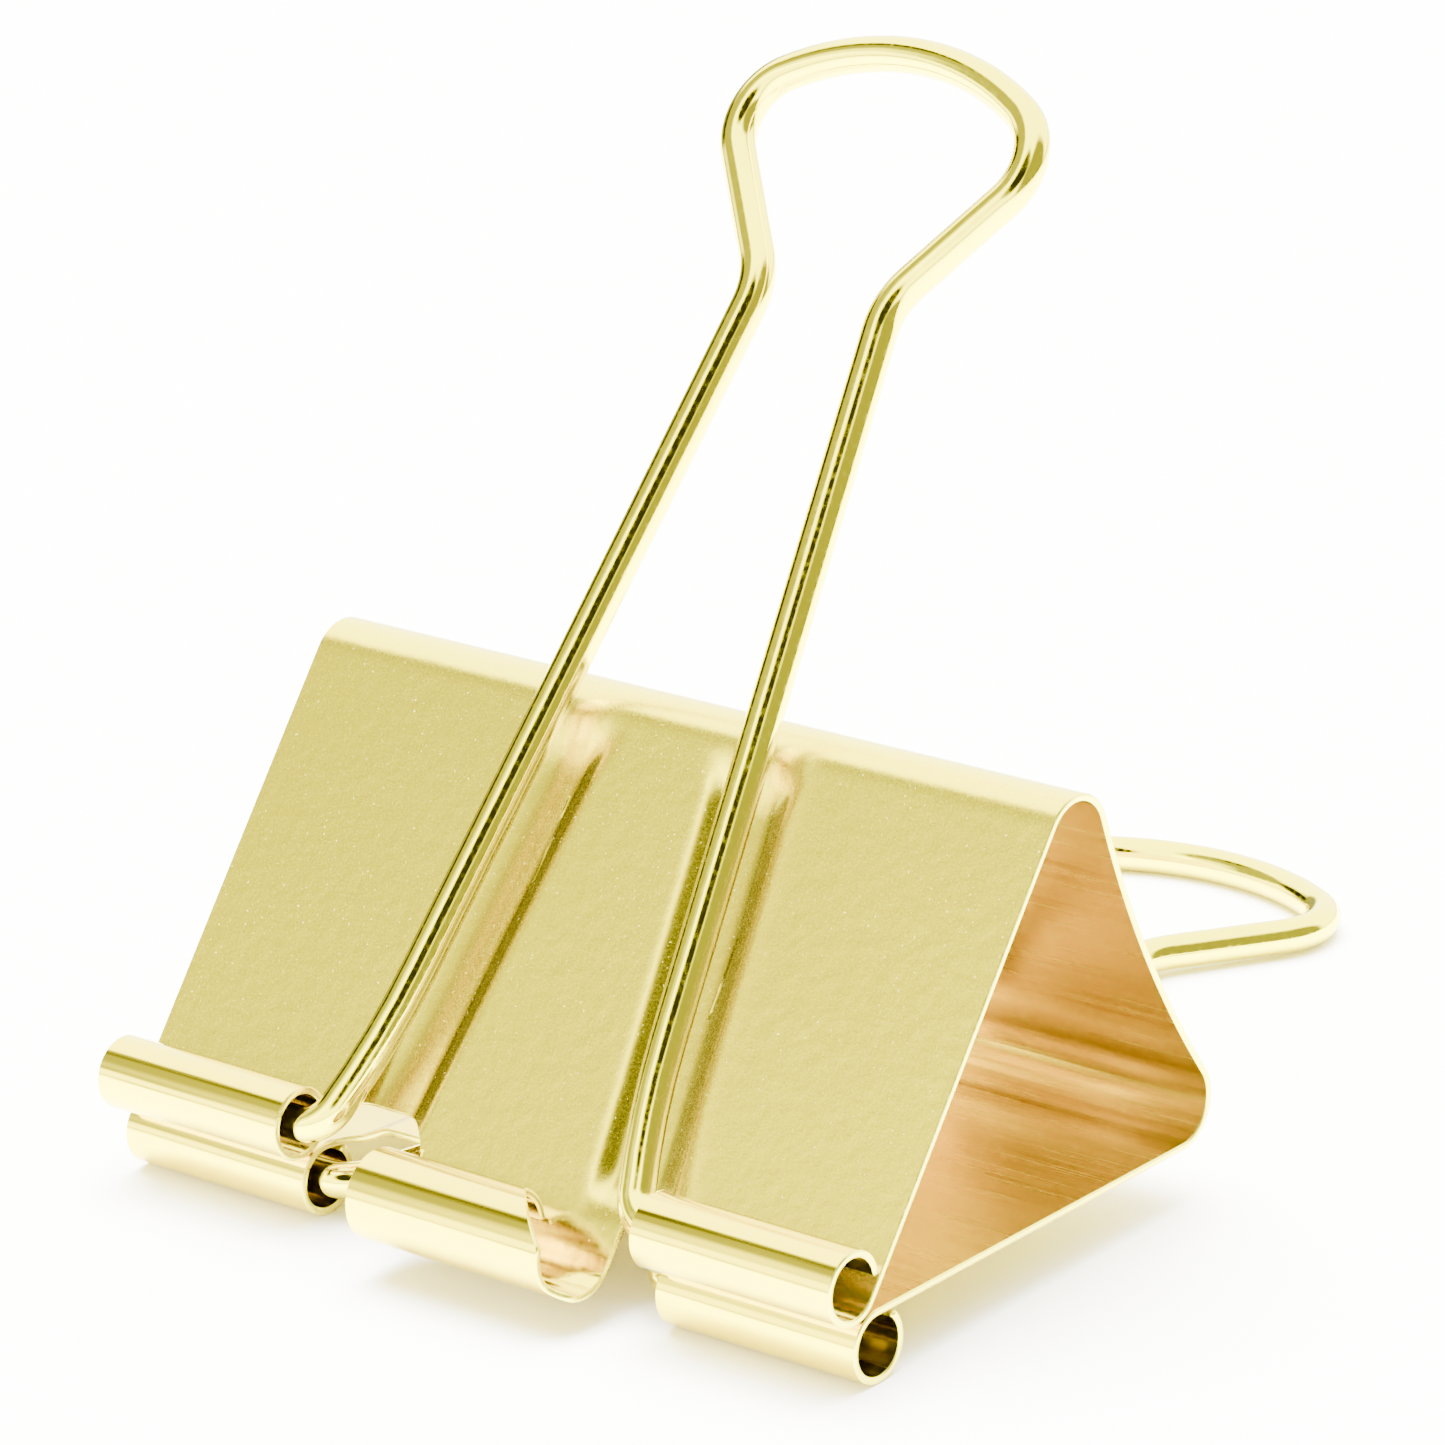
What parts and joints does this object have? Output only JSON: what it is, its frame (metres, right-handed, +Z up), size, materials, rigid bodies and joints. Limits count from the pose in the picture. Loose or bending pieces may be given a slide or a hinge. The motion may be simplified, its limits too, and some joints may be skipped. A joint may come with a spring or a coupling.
{
  "type": "binder clip",
  "caption": "Large spring-steel binder clip with a folded triangular body, rolled lips and two fold-back wire loop handles, gold plated.",
  "frame": {"origin": "middle of the base of the whole clip's box: the plane of the table it lies on", "axes": "+X along the lips, +Y from the lips to the spine and the lower handle's loop, +Z up from the table"},
  "size_m": [0.051, 0.0722, 0.0577],
  "materials": {
    "plated_sheet": "gold-plated spring steel sheet, satin outside with fine grain, lengthwise brushed inside",
    "plated_wire": "gold-plated steel wire, polished"
  },
  "bodies": {
    "lower_jaw": {"lower_jaw": "plated_sheet"},
    "spine": {"spine": "plated_sheet"},
    "upper_jaw": {"upper_jaw": "plated_sheet"},
    "upper_handle": {"upper_handle": "plated_wire"},
    "lower_handle": {"lower_handle": "plated_wire"}
  },
  "joints": [
    {"name": "lower_fold", "type": "hinge", "parent": "lower_jaw", "child": "spine", "pos_m": [0, -0.00393, 0.00328], "axis": [-1, 0, 0], "range_deg": [0, 26], "stiffness_Nm_per_rad": 1.2, "springref_deg": -11.46},
    {"name": "upper_fold", "type": "hinge", "parent": "spine", "child": "upper_jaw", "pos_m": [0, -0.01424, 0.02516], "axis": [-1, 0, 0], "range_deg": [0, 26], "stiffness_Nm_per_rad": 1.2, "springref_deg": -11.46},
    {"name": "upper_handle_swing", "type": "hinge", "parent": "upper_jaw", "child": "upper_handle", "pos_m": [0, -0.03177, 0.00587], "axis": [1, 0, 0], "range_deg": [0, 145]},
    {"name": "lower_handle_swing", "type": "hinge", "parent": "lower_jaw", "child": "lower_handle", "pos_m": [0, -0.02997, 0.00205], "axis": [-1, 0, 0], "range_deg": [0, 145]}
  ],
  "couplings": [
    {"joint": "upper_fold", "follows": "lower_fold", "ratio": 1}
  ]
}
